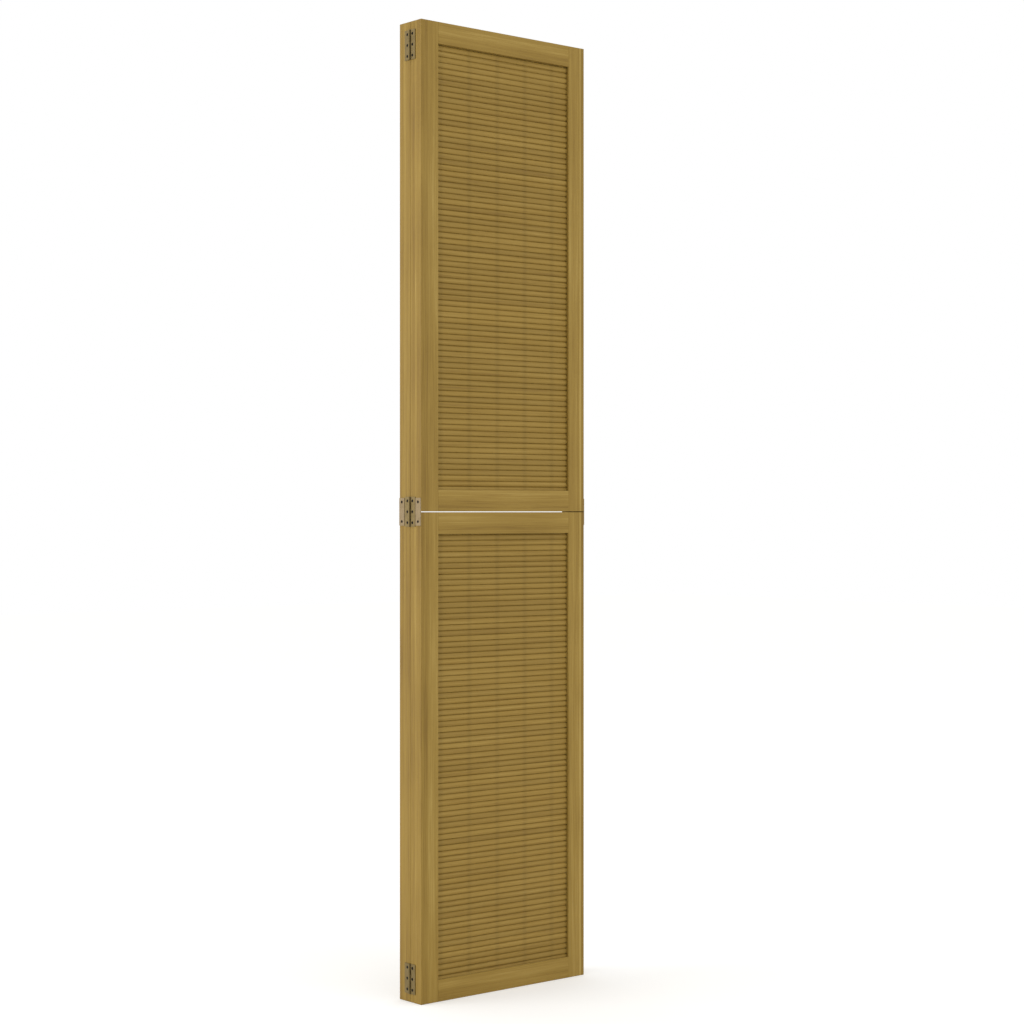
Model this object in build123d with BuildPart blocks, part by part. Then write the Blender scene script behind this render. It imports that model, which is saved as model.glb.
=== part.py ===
from build123d import *
import os

# Folding screen of two leaves, folded shut, in millimetres.
# X runs across a leaf from its hinge edge to its free edge, Y through the stack, Z up.
# The front leaf is on the -Y side and the rear leaf on the +Y side of the plane Y = 0.

# Whole screen
screen_height = 1800.0
leaf_width = 400.0
leaf_thickness = 32.0
fold_gap = 0.3
split_gap = 1.5

# Frame timber
stile_width = 40.0
rail_height = 40.0
edge_round = 0.5

# Slats, flat ovals that lie one above the other in grooves of the frame
slat_count = 80
slat_pitch = 10.415
slat_gap = 0.1
slat_thickness = 7.0
slat_recess = 5.5
slat_end_play = 0.5
groove_depth = 5.5
top_groove_depth = 10.5
groove_play = 0.1

# Dowels between rails and stiles
dowel_radius = 4.0
dowel_length = 36.0
dowel_spacing = 20.0
dowel_shift = 2.0
dowel_play = 0.05
dowel_chamfer = 0.8

# Hinges
hinge_height = 55.0
hinge_end_distance = 43.0
hinge_leaf_reach = 15.5
hinge_leaf_thickness = 1.4
hinge_corner_round = 1.0
knuckle_radius = 2.2
knuckle_count = 5
knuckle_gap = 0.25
knuckle_notch_edge = 3.3
knuckle_edge_break = 0.3
barrel_stand_off = 0.3
pin_radius = 1.1
pin_play = 0.06
staked_length = 4.0
hinge_screw_inset = 7.5
hinge_screw_pitch = 20.0

# Mending plates across the split
plate_height = 51.0
plate_corner_round = 1.0
plate_screw_pitch = 36.0
narrow_plate_width = 15.0
narrow_plate_inset = 24.3
narrow_plate_thickness = 1.4
wide_plate_width = 31.0
wide_plate_thickness = 1.5
wide_plate_screw_spacing = 16.0

# Countersunk wood screws
screw_head_radius = 2.7
screw_shank_radius = 1.25
screw_length = 13.0
screw_tip_length = 2.5
screw_tip_radius = 0.3
screw_recess_length = 2.8
screw_recess_width = 0.6
screw_recess_depth = 0.9
screw_hole_radius = 1.45
screw_sink_radius = 2.75
pilot_radius = 1.35
pilot_extra_depth = 0.5
sink_angle = 90.0

# Sizes worked out from the ones above
half_height = (screen_height - split_gap) / 2
middle_height = screen_height / 2
opening_height = half_height - 2 * rail_height
slat_height = slat_pitch - slat_gap
groove_width = slat_thickness + 2 * groove_play
slat_overlap = groove_depth - slat_end_play
pin_offset = knuckle_radius + barrel_stand_off
barrel_reach = pin_offset + knuckle_radius
hinge_edge_x = barrel_reach - (leaf_width + barrel_reach + wide_plate_thickness) / 2
free_edge_x = hinge_edge_x + leaf_width
opening_left_x = hinge_edge_x + stile_width
opening_right_x = free_edge_x - stile_width
opening_width = opening_right_x - opening_left_x
pin_x = hinge_edge_x - pin_offset
screw_head_depth = screw_head_radius - screw_shank_radius

# Each leaf is named with the side of Y = 0 that it is on, each half frame with its lowest height
leaf_sides = {"front": -1, "rear": 1}
half_bases = {"lower": 0.0, "upper": half_height + split_gap}

# How far the slats of each half frame stand above the floor of the bottom rail's groove
slat_lifts = {"lower": 0.1, "upper": 1.4}

hinge_heights = {
    "bottom": hinge_end_distance,
    "middle": middle_height,
    "top": screen_height - hinge_end_distance,
}


def save(builder, label):
    """Name a finished piece and write it as one STEP file."""
    builder.part.label = label
    export_step(builder.part, f"parts/{label}.step")


def leaf_middle(side):
    """Y of the middle of a leaf's thickness."""
    return side * (fold_gap + leaf_thickness) / 2


def slat_middle(side):
    """Y of the middle of the slats, which lie nearer to the outer face of their leaf."""
    return side * (fold_gap / 2 + leaf_thickness - slat_recess - slat_thickness / 2)


def edge_planes(surface_x, outward, points):
    """One plane for each (y, z) point of a surface at surface_x, facing out of the timber."""
    return [
        Plane(origin=(surface_x, y, z), x_dir=(0, 1, 0), z_dir=(outward, 0, 0))
        for y, z in points
    ]


def hinge_screw_points(side, centre_z):
    """The (y, z) places of the three screws of one hinge leaf."""
    return [(side * hinge_screw_inset, centre_z + step * hinge_screw_pitch) for step in (-1, 0, 1)]


def plate_points(screw_ys):
    """The (y, z) places of the screws of a mending plate, one above and one below the split at each y."""
    half_pitch = plate_screw_pitch / 2
    return [(y, middle_height + end * half_pitch) for y in screw_ys for end in (-1, 1)]


def narrow_plate_points(side):
    """The (y, z) places of the two screws of a mending plate beside the middle hinge."""
    return plate_points([side * narrow_plate_inset])


def wide_plate_points(side):
    """The (y, z) places of the four screws of a mending plate on the free edge."""
    half_spacing = wide_plate_screw_spacing / 2
    return plate_points([leaf_middle(side) - half_spacing, leaf_middle(side) + half_spacing])


def dowel_points(side, rail_middle_z):
    """The (y, z) places of the two dowels in one end of a rail, a little inward to clear the grooves."""
    dowel_y = leaf_middle(side) - side * dowel_shift
    return [(dowel_y, rail_middle_z + end * dowel_spacing / 2) for end in (-1, 1)]


def rail_middles(base_z):
    """Heights of the middles of the two rails of a half frame, bottom rail first."""
    return (base_z + rail_height / 2, base_z + half_height - rail_height / 2)


def make_stile(label, side, base_z, edge_x, outward, screw_points):
    """An upright of a half frame, with a groove for the slat ends, dowel holes and pilot holes."""
    inner_x = edge_x - outward * stile_width
    corner_dowels = [point for middle_z in rail_middles(base_z) for point in dowel_points(side, middle_z)]
    reachable = [
        (y, z) for y, z in screw_points if base_z - pilot_radius < z < base_z + half_height + pilot_radius
    ]
    with BuildPart() as stile:
        with BuildSketch(Plane.XY.offset(base_z)):
            with Locations((edge_x - outward * stile_width / 2, leaf_middle(side))):
                Rectangle(stile_width, leaf_thickness)
        extrude(amount=half_height)
        fillet(stile.edges(), radius=edge_round)
        with BuildSketch(Plane.XY.offset(base_z + rail_height - groove_depth)):
            with Locations((inner_x + outward * groove_depth / 2, slat_middle(side))):
                Rectangle(groove_depth, groove_width)
        extrude(amount=groove_depth + opening_height + top_groove_depth, mode=Mode.SUBTRACT)
        with Locations(*edge_planes(inner_x, -outward, corner_dowels)):
            Hole(dowel_radius + dowel_play, depth=dowel_length / 2 + dowel_play)
        with Locations(*edge_planes(edge_x, outward, reachable)):
            Hole(pilot_radius, depth=screw_length + pilot_extra_depth)
    save(stile, label)


def make_rail(label, side, middle_z, slats_above, depth):
    """A crosspiece of a half frame, with a groove towards the slats and two dowel holes in each end."""
    groove_z = middle_z + slats_above * (rail_height - depth) / 2
    with BuildPart() as rail:
        with BuildSketch(Plane.YZ.offset(opening_left_x)):
            with Locations((leaf_middle(side), middle_z)):
                Rectangle(leaf_thickness, rail_height)
        extrude(amount=opening_width)
        fillet(rail.edges().filter_by(Axis.X), radius=edge_round)
        with BuildSketch(Plane.YZ.offset(opening_left_x)):
            with Locations((slat_middle(side), groove_z)):
                Rectangle(groove_width, depth)
        extrude(amount=opening_width, mode=Mode.SUBTRACT)
        for end_x, outward in ((opening_left_x, -1), (opening_right_x, 1)):
            with Locations(*edge_planes(end_x, outward, dowel_points(side, middle_z))):
                Hole(dowel_radius + dowel_play, depth=dowel_length / 2 + dowel_play)
    save(rail, label)


def make_dowels(label, side, base_z):
    """The eight dowels that hold the corners of a half frame."""
    points = [point for middle_z in rail_middles(base_z) for point in dowel_points(side, middle_z)]
    planes = edge_planes(opening_left_x, 1, points) + edge_planes(opening_right_x, 1, points)
    with BuildPart() as dowels:
        with Locations(*planes):
            Cylinder(dowel_radius, dowel_length)
        chamfer(dowels.edges().filter_by(GeomType.CIRCLE), length=dowel_chamfer)
    save(dowels, label)


def make_slats(label, side, base_z, lift):
    """The slats of a half frame, with their ends in the stiles and the outer two in the rails."""
    first_z = base_z + rail_height - groove_depth + lift + slat_pitch / 2
    middles = [(slat_middle(side), first_z + row * slat_pitch) for row in range(slat_count)]
    with BuildPart() as slats:
        with BuildSketch(Plane.YZ.offset(opening_left_x - slat_overlap)):
            with Locations(*middles):
                Ellipse(slat_thickness / 2, slat_height / 2)
        extrude(amount=opening_width + 2 * slat_overlap)
    save(slats, label)


def make_screws(label, surface_x, outward, points):
    """Countersunk screws with a cross recess, their heads flush with the surface at surface_x."""
    shank_length = screw_length - screw_head_depth - screw_tip_length
    with BuildPart() as screws:
        with Locations(*edge_planes(surface_x, outward, points)):
            Cone(
                screw_shank_radius, screw_head_radius, screw_head_depth,
                align=(Align.CENTER, Align.CENTER, Align.MAX),
            )
            with Locations((0, 0, -screw_head_depth)):
                Cylinder(screw_shank_radius, shank_length, align=(Align.CENTER, Align.CENTER, Align.MAX))
            with Locations((0, 0, -screw_head_depth - shank_length)):
                Cone(
                    screw_tip_radius, screw_shank_radius, screw_tip_length,
                    align=(Align.CENTER, Align.CENTER, Align.MAX),
                )
            for turn in (0, 90):
                Box(
                    screw_recess_length, screw_recess_width, screw_recess_depth,
                    rotation=(0, 0, turn),
                    align=(Align.CENTER, Align.CENTER, Align.MAX),
                    mode=Mode.SUBTRACT,
                )
    save(screws, label)


def make_hinge_leaf(label, side, centre_z, first_knuckle):
    """A flat hinge leaf with every second knuckle, starting with first_knuckle from below."""
    knuckle_length = (hinge_height - (knuckle_count - 1) * knuckle_gap) / knuckle_count
    knuckle_step = knuckle_length + knuckle_gap
    bottom_z = centre_z - hinge_height / 2
    outer_x = hinge_edge_x - hinge_leaf_thickness
    plate_width = hinge_leaf_reach - knuckle_notch_edge
    tongue_width = knuckle_notch_edge - knuckle_edge_break
    tongue_middle = (outer_x + hinge_leaf_thickness / 2, side * (knuckle_edge_break + tongue_width / 2))
    with BuildPart() as hinge_leaf:
        with BuildSketch(Plane.YZ.offset(outer_x)):
            with Locations((side * (knuckle_notch_edge + plate_width / 2), centre_z)):
                Rectangle(plate_width, hinge_height)
        extrude(amount=hinge_leaf_thickness)
        outer_corners = hinge_leaf.edges().filter_by(Axis.X).group_by(Axis.Y)[-1 if side > 0 else 0]
        fillet(outer_corners, radius=hinge_corner_round)
        for number in range(first_knuckle, knuckle_count, 2):
            knuckle_z = bottom_z + number * knuckle_step
            with BuildSketch(Plane.XY.offset(knuckle_z)):
                with Locations((pin_x, 0)):
                    Circle(knuckle_radius)
                with Locations(tongue_middle):
                    Rectangle(hinge_leaf_thickness, tongue_width)
            extrude(amount=knuckle_length)
        with BuildSketch(Plane.XY.offset(bottom_z)):
            with Locations((pin_x, 0)):
                Circle(pin_radius + pin_play)
        extrude(amount=hinge_height, mode=Mode.SUBTRACT)
        with Locations(*edge_planes(outer_x, -1, hinge_screw_points(side, centre_z))):
            CounterSinkHole(screw_hole_radius, screw_sink_radius, counter_sink_angle=sink_angle)
    save(hinge_leaf, label)


def make_hinge_pin(label, centre_z):
    """A pin that turns in the middle knuckles, with staked ends that grip the end knuckles."""
    with BuildPart() as pin:
        with BuildSketch(Plane.XY.offset(centre_z - hinge_height / 2)):
            with Locations((pin_x, 0)):
                Circle(pin_radius)
        extrude(amount=hinge_height)
        for staked_z in (centre_z - hinge_height / 2, centre_z + hinge_height / 2 - staked_length):
            with BuildSketch(Plane.XY.offset(staked_z)):
                with Locations((pin_x, 0)):
                    Circle(pin_radius + pin_play)
            extrude(amount=staked_length)
    save(pin, label)


def make_plate(label, middle_y, width, thickness, edge_x, outward, points):
    """A flat mending plate across the split, on the edge faces of both half frames."""
    with BuildPart() as plate:
        with BuildSketch(Plane.YZ.offset(edge_x)):
            with Locations((middle_y, middle_height)):
                RectangleRounded(width, plate_height, plate_corner_round)
        extrude(amount=outward * thickness)
        with Locations(*edge_planes(edge_x + outward * thickness, outward, points)):
            CounterSinkHole(screw_hole_radius, screw_sink_radius, counter_sink_angle=sink_angle)
    save(plate, label)


os.makedirs("parts", exist_ok=True)

for leaf_name, leaf_side in leaf_sides.items():
    hinge_edge_points = narrow_plate_points(leaf_side)
    for hinge_z in hinge_heights.values():
        hinge_edge_points += hinge_screw_points(leaf_side, hinge_z)
    free_edge_points = wide_plate_points(leaf_side)

    for half_name, half_base in half_bases.items():
        half = f"{leaf_name}_{half_name}"
        make_stile(f"{half}_hinge_stile", leaf_side, half_base, hinge_edge_x, -1, hinge_edge_points)
        make_stile(f"{half}_free_stile", leaf_side, half_base, free_edge_x, 1, free_edge_points)
        bottom_rail_z, top_rail_z = rail_middles(half_base)
        make_rail(f"{half}_bottom_rail", leaf_side, bottom_rail_z, 1, groove_depth)
        make_rail(f"{half}_top_rail", leaf_side, top_rail_z, -1, top_groove_depth)
        make_dowels(f"{half}_dowels", leaf_side, half_base)
        make_slats(f"{half}_slats", leaf_side, half_base, slat_lifts[half_name])

    for hinge_name, hinge_z in hinge_heights.items():
        hinge_leaf_name = f"{hinge_name}_hinge_{leaf_name}_leaf"
        make_hinge_leaf(hinge_leaf_name, leaf_side, hinge_z, 0 if leaf_name == "front" else 1)
        make_screws(
            f"{hinge_name}_hinge_{leaf_name}_screws",
            hinge_edge_x - hinge_leaf_thickness, -1, hinge_screw_points(leaf_side, hinge_z),
        )

    make_plate(
        f"{leaf_name}_hinge_edge_plate", leaf_side * narrow_plate_inset,
        narrow_plate_width, narrow_plate_thickness, hinge_edge_x, -1, narrow_plate_points(leaf_side),
    )
    make_screws(
        f"{leaf_name}_hinge_edge_plate_screws",
        hinge_edge_x - narrow_plate_thickness, -1, narrow_plate_points(leaf_side),
    )
    make_plate(
        f"{leaf_name}_free_edge_plate", leaf_middle(leaf_side),
        wide_plate_width, wide_plate_thickness, free_edge_x, 1, wide_plate_points(leaf_side),
    )
    make_screws(
        f"{leaf_name}_free_edge_plate_screws",
        free_edge_x + wide_plate_thickness, 1, wide_plate_points(leaf_side),
    )

for hinge_name, hinge_z in hinge_heights.items():
    make_hinge_pin(f"{hinge_name}_hinge_pin", hinge_z)
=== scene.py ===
import math

import bpy
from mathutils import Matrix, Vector


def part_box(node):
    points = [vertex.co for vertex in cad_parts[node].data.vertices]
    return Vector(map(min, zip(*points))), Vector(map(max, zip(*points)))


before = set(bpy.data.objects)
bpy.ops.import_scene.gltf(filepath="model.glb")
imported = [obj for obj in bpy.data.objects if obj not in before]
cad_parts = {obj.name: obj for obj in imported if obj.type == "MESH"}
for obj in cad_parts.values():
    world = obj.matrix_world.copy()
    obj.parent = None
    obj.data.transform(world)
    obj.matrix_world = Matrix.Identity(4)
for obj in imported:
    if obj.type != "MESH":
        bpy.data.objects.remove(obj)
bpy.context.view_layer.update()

# Camera, fitted to the straight edges of the object in the photograph, in metres and degrees
camera_place = (-2.6001, -3.1289, 0.8996)
camera_turn = 40.22
camera_lens = 75.45
camera_sensor = 36.0
camera_far = 60.0

# Slats, as the part's source has them
slat_count = 80
slat_gap = 0.0001

# Faint upright bands where thread binds the slats, measured from the hinge edge of a leaf; their darkening
# is partly the thread's own colour and partly painted shadow of the thread
band_first = 0.050
band_pitch = 0.068
band_core = 0.002
band_half_width = 0.0075
thread_and_shadow_darkening = 0.9
thread_pitch = 0.0042

# Dark margin of each kind of frame board, from its outer or lower edge, and its soft border: heartwood on
# the hinge stiles and rails, and on the free stiles painted shade where the rounded outer edge turns from
# the light
heartwood_and_shade_margins = {"hinge_stile": 0.016, "free_stile": 0.007, "bottom_rail": 0.020, "top_rail": 0.020}
margin_border = 0.002
margin_depth = 0.22

# Pale streaks: one near the outer edge of the free stiles, and one in the middle of each board's edge face
pale_streaks = {"free_stile": 0.0095}
streak_core = 0.0006
streak_half_width = 0.0028
streak_height = 0.45
core_streak_half_width = 0.0045
core_streak_height = 0.22

# Nearly all values of a noise texture lie in the first span, and the others pick out finer marks
noise_span = (0.3, 0.7)
fibre_span = (0.32, 0.68)
pore_span = (0.66, 0.78)

# Wood grain: how quickly each pattern changes across, through and along a board, per metre
sway_rates = (7.0, 7.0, 1.3)
ring_rate = 150.0
ring_drift_rate = 1.4
fibre_rates = (620.0, 620.0, 11.0)
pore_rates = (2300.0, 2300.0, 60.0)
cloud_rates = (14.0, 14.0, 4.5)

# Wood grain: how far its rings sway in metres, each pattern's share of the tone, and how far boards differ
ring_sway = 0.006
ring_share = 0.45
fibre_share = 0.3
cloud_share = 0.25
board_shift = (0.4, 0.3, 3.0)
slat_shift = (0.4, 0.3, 5.0)
slat_shade_span = (0.94, 1.05)

# Wood surface: where a cut end begins, how deep its rings and the pores are, roughness and relief in metres
end_grain_span = (0.55, 0.9)
end_ring_span = (0.35, 0.65)
end_ring_depths = (0.35, 0.75)
pore_depth = 0.35
wood_roughness = 0.5
fibre_roughness = 0.14
end_grain_roughness = 0.2
pore_relief = -0.6
tone_relief = 0.5
wood_relief = 0.00018
wood_relief_strength = 0.7
wood_specular = 0.2
thread_span = (0.3, 0.9)

# Plated steel: brushing per metre, cloud and speck scales, how strongly it is stained, and its surface
brushing_rates = (2600.0, 2600.0, 90.0)
steel_cloud_scale = 70.0
speck_scale = 650.0
speck_span = (0.64, 0.74)
speck_depth = 0.4
stain_span = (0.52, 0.72)
stain_depth = 0.35
steel_roughness = (0.4, 0.58)
speck_relief = -0.5
steel_relief = 0.00004
steel_relief_strength = 0.5
steel_metallic = 0.7

# Black screws: scale and span of the rubbed marks, and their surface
rub_scale = 900.0
rub_span = (0.35, 0.75)
screw_roughness = (0.62, 0.48)
screw_relief = 0.00005
screw_relief_strength = 0.4
screw_specular = 0.1

# Lamps and surround
middle = (0.0, 0.0, 0.9)
lamp_size = 2.6
key_place = (-4.4, 2.0, 1.3)
key_watts = 106.0
fill_place = (1.6, -5.0, 1.6)
fill_watts = 48.0
surround_light = 0.92
floor_half_side = 14.0
floor_drop = 0.0005
floor_lift = 0.32
floor_speckle_scale = 9.0
floor_speckle = (0.99, 1.01)

leaf_sides = {"front": -1, "rear": 1}
half_names = ("lower", "upper")


def linear(red, green, blue):
    """A colour given as it looks on a screen, 0 to 255, as the linear colour that a shader takes."""
    channels = [value / 255 for value in (red, green, blue)]
    return tuple(c / 12.92 if c <= 0.04045 else ((c + 0.055) / 1.055) ** 2.4 for c in channels)


# Colours, as they look on a screen
timber_shades = [(0.0, (118, 90, 34)), (0.35, (140, 112, 47)), (0.65, (153, 125, 58)), (1.0, (174, 147, 80))]
slat_shades = [(0.0, (122, 94, 38)), (0.4, (143, 115, 51)), (0.7, (153, 125, 60)), (1.0, (168, 141, 77))]
dowel_shades = [(0.0, (178, 150, 108)), (0.5, (192, 166, 124)), (1.0, (204, 180, 140))]
end_grain_tint = (112, 84, 36)
pore_tint = (90, 64, 24)
hinge_steel_shades = [(0.0, (91, 76, 41)), (0.5, (114, 97, 58)), (1.0, (137, 120, 81))]
plate_steel_shades = [(0.0, (109, 91, 61)), (0.5, (130, 112, 82)), (1.0, (151, 135, 108))]
steel_stain_tint = (84, 66, 38)
screw_shades = [(0.0, (14, 9, 4)), (0.7, (24, 17, 9)), (1.0, (46, 36, 24))]
floor_shade = (226, 225, 222)


class Recipe:
    """Adds shader nodes to one material and wires them, so that a surface reads as a short recipe."""

    def __init__(self, name):
        self.material = bpy.data.materials.new(name)
        self.material.use_nodes = True
        self.tree = self.material.node_tree
        self.tree.nodes.clear()
        self.links = self.tree.links

    def node(self, kind, **settings):
        made = self.tree.nodes.new(kind)
        for key, value in settings.items():
            setattr(made, key, value)
        return made

    def put(self, socket, value):
        """Sets a socket to a number, a colour or another node's output."""
        if isinstance(value, bpy.types.NodeSocket):
            self.links.new(value, socket)
        else:
            socket.default_value = value

    def math(self, operation, *values):
        made = self.node("ShaderNodeMath", operation=operation)
        for socket, value in zip(made.inputs, values):
            self.put(socket, value)
        return made.outputs[0]

    def vector(self, operation, *values):
        made = self.node("ShaderNodeVectorMath", operation=operation)
        for socket, value in zip(made.inputs, values):
            self.put(socket, value)
        return made.outputs["Value" if operation == "LENGTH" else "Vector"]

    def combine(self, x, y, z):
        made = self.node("ShaderNodeCombineXYZ")
        for socket, value in zip(made.inputs, (x, y, z)):
            self.put(socket, value)
        return made.outputs[0]

    def separate(self, vector):
        made = self.node("ShaderNodeSeparateXYZ")
        self.put(made.inputs[0], vector)
        return made.outputs

    def noise(self, vector, scale=1.0, detail=2.0, roughness=0.5):
        made = self.node("ShaderNodeTexNoise", noise_dimensions="3D")
        self.put(made.inputs["Vector"], vector)
        self.put(made.inputs["Scale"], scale)
        self.put(made.inputs["Detail"], detail)
        self.put(made.inputs["Roughness"], roughness)
        return made.outputs[0]

    def scatter(self, number):
        """A random vector that goes with a number."""
        made = self.node("ShaderNodeTexWhiteNoise", noise_dimensions="1D")
        self.put(made.inputs["W"], number)
        return made.outputs["Color"]

    def spread(self, value, low, high, to_low=0.0, to_high=1.0):
        """Maps low..high to to_low..to_high, and holds the ends."""
        made = self.node("ShaderNodeMapRange", clamp=True)
        for socket, number in zip(made.inputs, (value, low, high, to_low, to_high)):
            self.put(socket, number)
        return made.outputs[0]

    def ramp(self, value, shades):
        made = self.node("ShaderNodeValToRGB")
        stops = made.color_ramp.elements
        while len(stops) < len(shades):
            stops.new(0.5)
        for stop, (place, shade) in zip(stops, shades):
            stop.position = place
            stop.color = (*linear(*shade), 1.0)
        self.put(made.inputs[0], value)
        return made.outputs[0]

    def tint(self, factor, colour, shade):
        """Blends a colour towards a fixed shade by factor."""
        made = self.node("ShaderNodeMix", data_type="RGBA", blend_type="MIX")
        self.put(made.inputs[0], factor)
        self.put(made.inputs[6], colour)
        self.put(made.inputs[7], (*linear(*shade), 1.0))
        return made.outputs[2]

    def scale_colour(self, colour, factor):
        return self.vector("MULTIPLY", colour, self.combine(factor, factor, factor))

    def bump(self, height, distance, strength=1.0):
        made = self.node("ShaderNodeBump")
        self.put(made.inputs["Strength"], strength)
        self.put(made.inputs["Distance"], distance)
        self.put(made.inputs["Height"], height)
        return made.outputs[0]

    def place(self):
        """Position on the part in metres, from the part's own origin."""
        return self.node("ShaderNodeTexCoord").outputs["Object"]

    def facing(self):
        """Surface normal in the part's own axes."""
        return self.node("ShaderNodeTexCoord").outputs["Normal"]

    def own_number(self):
        """A random number from 0 to 1 for each object."""
        return self.node("ShaderNodeObjectInfo").outputs["Random"]

    def finish(self, colour, roughness, normal, metallic=0.0, specular=0.5):
        shader = self.node("ShaderNodeBsdfPrincipled")
        self.put(shader.inputs["Base Color"], colour)
        self.put(shader.inputs["Roughness"], roughness)
        self.put(shader.inputs["Normal"], normal)
        self.put(shader.inputs["Metallic"], metallic)
        self.put(shader.inputs["Specular IOR Level"], specular)
        out = self.node("ShaderNodeOutputMaterial")
        self.links.new(shader.outputs[0], out.inputs["Surface"])
        return self.material


def wood_tone(recipe, board_place):
    """Growth rings, fibres and pores of a board, from its (across, depth, along) place in metres."""
    sway = recipe.noise(recipe.vector("MULTIPLY", board_place, sway_rates), detail=1.0)
    sway = recipe.spread(sway, *noise_span, -ring_sway, ring_sway)
    across, depth, along = recipe.separate(board_place)
    from_pith = recipe.vector("LENGTH", recipe.combine(recipe.math("ADD", across, sway), depth, 0.0))
    ring_number = recipe.math("MULTIPLY", from_pith, ring_rate)
    ring_drift = recipe.math("MULTIPLY", along, ring_drift_rate)
    rings = recipe.noise(recipe.combine(ring_number, ring_drift, 0.0), detail=4.0, roughness=0.65)
    fibres = recipe.noise(recipe.vector("MULTIPLY", board_place, fibre_rates), detail=3.0, roughness=0.6)
    pores = recipe.noise(recipe.vector("MULTIPLY", board_place, pore_rates), detail=1.0)
    clouds = recipe.noise(recipe.vector("MULTIPLY", board_place, cloud_rates), detail=2.0)
    tone = recipe.math("MULTIPLY", recipe.spread(rings, *noise_span), ring_share)
    tone = recipe.math("MULTIPLY_ADD", recipe.spread(fibres, *fibre_span), fibre_share, tone)
    tone = recipe.math("MULTIPLY_ADD", recipe.spread(clouds, *noise_span), cloud_share, tone)
    return tone, fibres, recipe.spread(pores, *pore_span)


def wood_finish(recipe, board_place, along_facing, shades, lighter=0.0, extra_shade=1.0, extra_relief=0.0):
    """Finishes a wooden surface: long grain on the faces, rings on the cut ends, fine pores."""
    tone, fibres, pores = wood_tone(recipe, board_place)
    colour = recipe.ramp(recipe.math("ADD", tone, lighter), shades)
    colour = recipe.tint(recipe.math("MULTIPLY", pores, pore_depth), colour, pore_tint)
    end_grain = recipe.spread(along_facing, *end_grain_span)
    rings = recipe.spread(fibres, *end_ring_span, *end_ring_depths)
    colour = recipe.tint(recipe.math("MULTIPLY", end_grain, rings), colour, end_grain_tint)
    colour = recipe.scale_colour(colour, extra_shade)
    roughness = recipe.spread(fibres, *noise_span)
    roughness = recipe.math("MULTIPLY_ADD", roughness, fibre_roughness, wood_roughness)
    roughness = recipe.math("MULTIPLY_ADD", end_grain, end_grain_roughness, roughness)
    relief = recipe.math("MULTIPLY_ADD", tone, tone_relief, fibres)
    relief = recipe.math("MULTIPLY_ADD", pores, pore_relief, relief)
    relief = recipe.bump(recipe.math("ADD", relief, extra_relief), wood_relief, wood_relief_strength)
    return recipe.finish(colour, roughness, relief, specular=wood_specular)


def streak(recipe, distance, half_width, height):
    """A pale line in the wood where distance is nought, fading out to half_width."""
    return recipe.spread(recipe.math("ABSOLUTE", distance), streak_core, half_width, height, 0.0)


def board_wood(node_name, piece):
    """Frame timber of one board: its grain runs along it, with a dark margin (painted shade on the free
    stiles) and pale streaks.
    """
    low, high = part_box(node_name)
    recipe = Recipe(f"wood_{node_name}")
    x, y, z = recipe.separate(recipe.place())
    facing = recipe.separate(recipe.facing())
    if piece.endswith("rail"):
        across, along, along_normal = recipe.math("SUBTRACT", z, low.z), x, facing[0]
    elif piece == "hinge_stile":
        across, along, along_normal = recipe.math("SUBTRACT", x, low.x), z, facing[2]
    else:
        across, along, along_normal = recipe.math("SUBTRACT", high.x, x), z, facing[2]
    shift = recipe.vector("MULTIPLY", recipe.scatter(recipe.own_number()), board_shift)
    board_place = recipe.vector("ADD", recipe.combine(across, y, along), shift)

    # On the free stiles this dark margin is painted shade of the rounded outer edge; on the other boards it
    # is heartwood
    margin = heartwood_and_shade_margins[piece]
    board_width = high.z - low.z if piece.endswith("rail") else high.x - low.x
    lightest = margin_depth * margin / board_width
    margin_tones = (lightest - margin_depth, lightest)
    lighter = recipe.spread(across, margin - margin_border, margin + margin_border, *margin_tones)
    from_core = recipe.math("SUBTRACT", y, (low.y + high.y) / 2)
    core_streak = streak(recipe, from_core, core_streak_half_width, core_streak_height)
    lighter = recipe.math("ADD", lighter, core_streak)
    if piece in pale_streaks:
        from_streak = recipe.math("SUBTRACT", across, pale_streaks[piece])
        edge_streak = streak(recipe, from_streak, streak_half_width, streak_height)
        lighter = recipe.math("ADD", lighter, edge_streak)
    along_facing = recipe.math("ABSOLUTE", along_normal)
    return wood_finish(recipe, board_place, along_facing, timber_shades, lighter=lighter)


def dowel_wood():
    """Plain light hardwood, with its grain along the dowels."""
    recipe = Recipe("dowel_wood")
    x, y, z = recipe.separate(recipe.place())
    along_facing = recipe.math("ABSOLUTE", recipe.separate(recipe.facing())[0])
    return wood_finish(recipe, recipe.combine(z, y, x), along_facing, dowel_shades)


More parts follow.
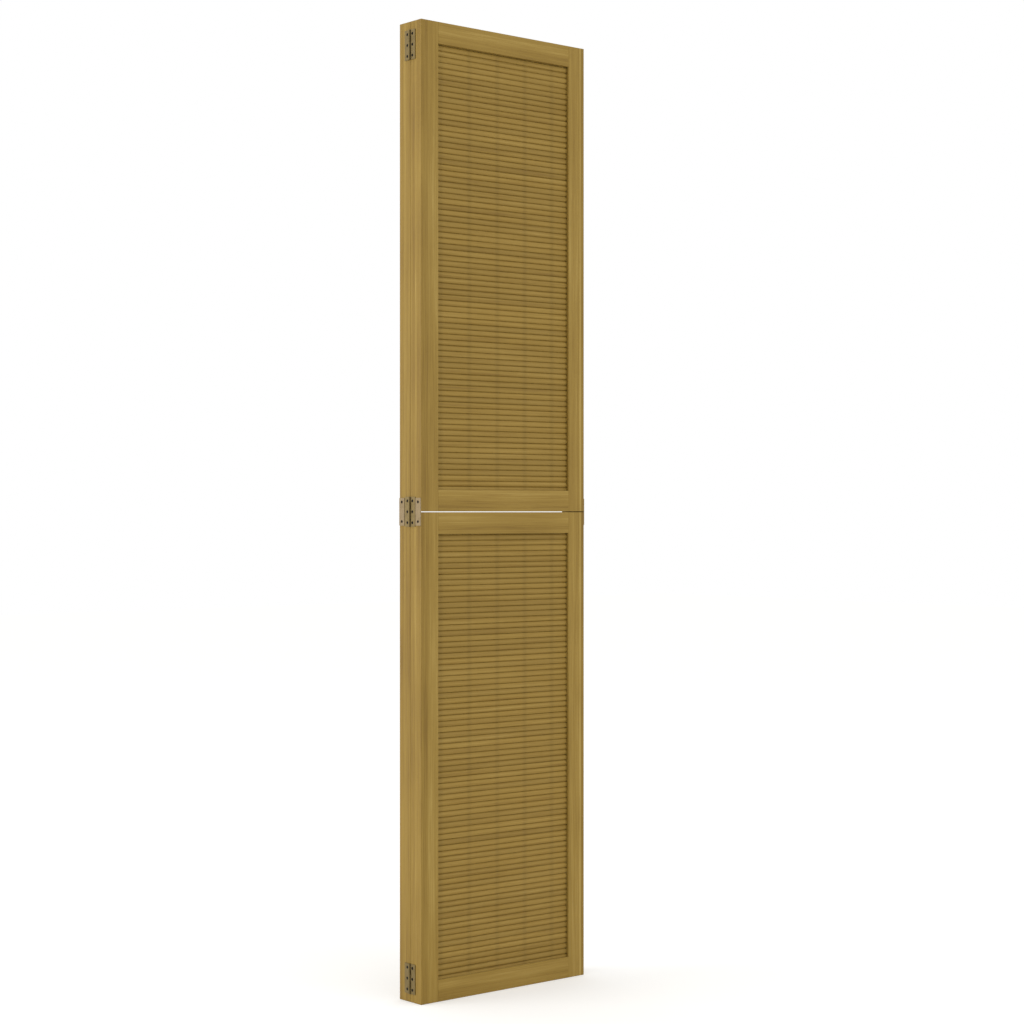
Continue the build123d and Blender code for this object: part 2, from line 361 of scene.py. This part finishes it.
def slat_wood(node_name, hinge_edge_x, first_number):
    """Slat wood: each slat has a grain and a shade of its own, and bands of thread cross them, darkened
    partly by painted shadow of the thread.
    """
    low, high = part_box(node_name)
    pitch = (high.z - low.z + slat_gap) / slat_count
    recipe = Recipe(f"wood_{node_name}")
    x, y, z = recipe.separate(recipe.place())
    height = recipe.math("SUBTRACT", z, low.z - slat_gap / 2)
    rank = recipe.math("FLOOR", recipe.math("DIVIDE", height, pitch))
    chance = recipe.scatter(recipe.math("ADD", rank, first_number + 0.5))
    shift = recipe.vector("MULTIPLY", chance, slat_shift)
    board_place = recipe.vector("ADD", recipe.combine(z, y, x), shift)

    bands_along = recipe.math("DIVIDE", recipe.math("SUBTRACT", x, hinge_edge_x + band_first), band_pitch)
    beside = recipe.math("ABSOLUTE", recipe.math("SUBTRACT", bands_along, recipe.math("ROUND", bands_along)))
    away = recipe.math("MULTIPLY", beside, band_pitch)
    thread_and_shadow_band = recipe.spread(away, band_core, band_half_width, 1.0, 0.0)
    threads = recipe.math("COSINE", recipe.math("MULTIPLY", away, 2 * math.pi / thread_pitch))
    threads = recipe.math("MULTIPLY", recipe.spread(threads, *thread_span), thread_and_shadow_band)
    own_shade = recipe.spread(recipe.separate(chance)[1], 0.0, 1.0, *slat_shade_span)
    # Inside the bands the slats are darkened: partly the thread's colour, partly painted shadow of the
    # thread
    shade = recipe.math("MULTIPLY", own_shade, recipe.spread(thread_and_shadow_band, 0.0, 1.0, 1.0, thread_and_shadow_darkening))
    along_facing = recipe.math("ABSOLUTE", recipe.separate(recipe.facing())[0])
    return wood_finish(
        recipe, board_place, along_facing, slat_shades, extra_shade=shade, extra_relief=threads,
    )


def plated_steel(name, shades):
    """Thin plated sheet steel: a fine upright brushing, faint stains and handling marks."""
    recipe = Recipe(name)
    place = recipe.vector("ADD", recipe.place(), recipe.scatter(recipe.own_number()))
    brushing = recipe.noise(recipe.vector("MULTIPLY", place, brushing_rates), detail=2.0)
    clouds = recipe.noise(place, scale=steel_cloud_scale, detail=4.0, roughness=0.6)
    specks = recipe.spread(recipe.noise(place, scale=speck_scale, detail=1.0), *speck_span)
    tone = recipe.math("MULTIPLY", recipe.spread(clouds, *noise_span), 0.5)
    tone = recipe.math("MULTIPLY_ADD", recipe.spread(brushing, *noise_span), 0.5, tone)
    colour = recipe.ramp(tone, shades)
    stains = recipe.math("MULTIPLY", recipe.spread(clouds, *stain_span), stain_depth)
    marks = recipe.math("MAXIMUM", stains, recipe.math("MULTIPLY", specks, speck_depth))
    colour = recipe.tint(marks, colour, steel_stain_tint)
    roughness = recipe.spread(clouds, *noise_span, *steel_roughness)
    relief = recipe.math("MULTIPLY_ADD", specks, speck_relief, brushing)
    relief = recipe.bump(relief, steel_relief, steel_relief_strength)
    return recipe.finish(colour, roughness, relief, metallic=steel_metallic)


def black_screw_steel(name):
    """Blackened screws, a little brighter where a driver has rubbed them."""
    recipe = Recipe(name)
    rubbed = recipe.noise(recipe.place(), scale=rub_scale, detail=3.0, roughness=0.6)
    colour = recipe.ramp(recipe.spread(rubbed, *rub_span), screw_shades)
    roughness = recipe.spread(rubbed, *noise_span, *screw_roughness)
    relief = recipe.bump(rubbed, screw_relief, screw_relief_strength)
    return recipe.finish(colour, roughness, relief, specular=screw_specular)


def dress(node_name, material):
    """Gives a CAD node its finish."""
    for material_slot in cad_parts[node_name].material_slots:
        material_slot.material = material


def dress_screen():
    """Finishes every node of the screen."""
    for leaf in leaf_sides:
        for half in half_names:
            for piece in heartwood_and_shade_margins:
                node_name = f"{leaf}_{half}_{piece}"
                dress(node_name, board_wood(node_name, piece))
            hinge_edge_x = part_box(f"{leaf}_{half}_hinge_stile")[0].x
            first_number = slat_count * (half_names.index(half) + len(half_names) * (leaf_sides[leaf] > 0))
            node_name = f"{leaf}_{half}_slats"
            dress(node_name, slat_wood(node_name, hinge_edge_x, first_number))
    hinge_steel = plated_steel("hinge_steel", hinge_steel_shades)
    by_ending = {
        "_dowels": dowel_wood(),
        "_leaf": hinge_steel,
        "_pin": hinge_steel,
        "_plate": plated_steel("plate_steel", plate_steel_shades),
        "_screws": black_screw_steel("screw_steel"),
    }
    for node_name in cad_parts:
        for ending, material in by_ending.items():
            if node_name.endswith(ending):
                dress(node_name, material)


def add_camera():
    """The camera at the photograph's place, level, looking past the hinge edge."""
    data = bpy.data.cameras.new("camera")
    data.lens = camera_lens
    data.sensor_width = camera_sensor
    data.sensor_fit = "HORIZONTAL"
    data.clip_end = camera_far
    camera = bpy.data.objects.new("camera", data)
    camera.location = camera_place
    camera.rotation_euler = (math.radians(90.0), 0.0, -math.radians(camera_turn))
    bpy.context.scene.collection.objects.link(camera)
    bpy.context.scene.camera = camera


def add_softbox(name, place, watts):
    """A large square lamp that faces the middle of the screen."""
    data = bpy.data.lights.new(name, "AREA")
    data.shape = "SQUARE"
    data.size = lamp_size
    data.energy = watts
    lamp = bpy.data.objects.new(name, data)
    lamp.location = place
    lamp.rotation_euler = (Vector(middle) - Vector(place)).to_track_quat("-Z", "Y").to_euler()
    bpy.context.scene.collection.objects.link(lamp)


def seen_directly(tree):
    """1 for rays from the camera, from a gloss and through glass, and 0 for light."""
    rays = tree.nodes.new("ShaderNodeLightPath")
    total = rays.outputs["Is Camera Ray"]
    for name in ("Is Glossy Ray", "Is Transmission Ray"):
        added = tree.nodes.new("ShaderNodeMath")
        added.operation = "MAXIMUM"
        tree.links.new(total, added.inputs[0])
        tree.links.new(rays.outputs[name], added.inputs[1])
        total = added.outputs[0]
    return total


def set_world():
    """An even white surround: plain white where it is seen, and a little dimmer as a light."""
    world = bpy.data.worlds.new("surround")
    bpy.context.scene.world = world
    world.use_nodes = True
    tree = world.node_tree
    background = tree.nodes["Background"]
    background.inputs["Color"].default_value = (1.0, 1.0, 1.0, 1.0)
    strength = tree.nodes.new("ShaderNodeMapRange")
    tree.links.new(seen_directly(tree), strength.inputs[0])
    strength.inputs[3].default_value = surround_light
    strength.inputs[4].default_value = 1.0
    tree.links.new(strength.outputs[0], background.inputs["Strength"])


def add_floor():
    """A plain pale floor that keeps the object's shadow and runs into the white surround."""
    reach = floor_half_side
    corners = [(-reach, -reach, 0.0), (reach, -reach, 0.0), (reach, reach, 0.0), (-reach, reach, 0.0)]
    mesh = bpy.data.meshes.new("floor")
    mesh.from_pydata(corners, [], [(0, 1, 2, 3)])
    floor = bpy.data.objects.new("floor", mesh)
    floor.location.z = -floor_drop
    bpy.context.scene.collection.objects.link(floor)
    recipe = Recipe("floor")
    diffuse = recipe.node("ShaderNodeBsdfDiffuse")
    speckle = recipe.noise(recipe.place(), scale=floor_speckle_scale, detail=3.0)
    colour = recipe.scale_colour(linear(*floor_shade), recipe.spread(speckle, 0.0, 1.0, *floor_speckle))
    recipe.put(diffuse.inputs["Color"], colour)
    glow = recipe.node("ShaderNodeEmission")
    recipe.put(glow.inputs["Strength"], recipe.math("MULTIPLY", seen_directly(recipe.tree), floor_lift))
    both = recipe.node("ShaderNodeAddShader")
    recipe.links.new(diffuse.outputs[0], both.inputs[0])
    recipe.links.new(glow.outputs[0], both.inputs[1])
    recipe.links.new(both.outputs[0], recipe.node("ShaderNodeOutputMaterial").inputs["Surface"])
    mesh.materials.append(recipe.material)


add_camera()
add_softbox("key_lamp", key_place, key_watts)
add_softbox("fill_lamp", fill_place, fill_watts)
set_world()
add_floor()
dress_screen()
bpy.context.scene.view_settings.view_transform = "Standard"

bpy.context.view_layer.update()
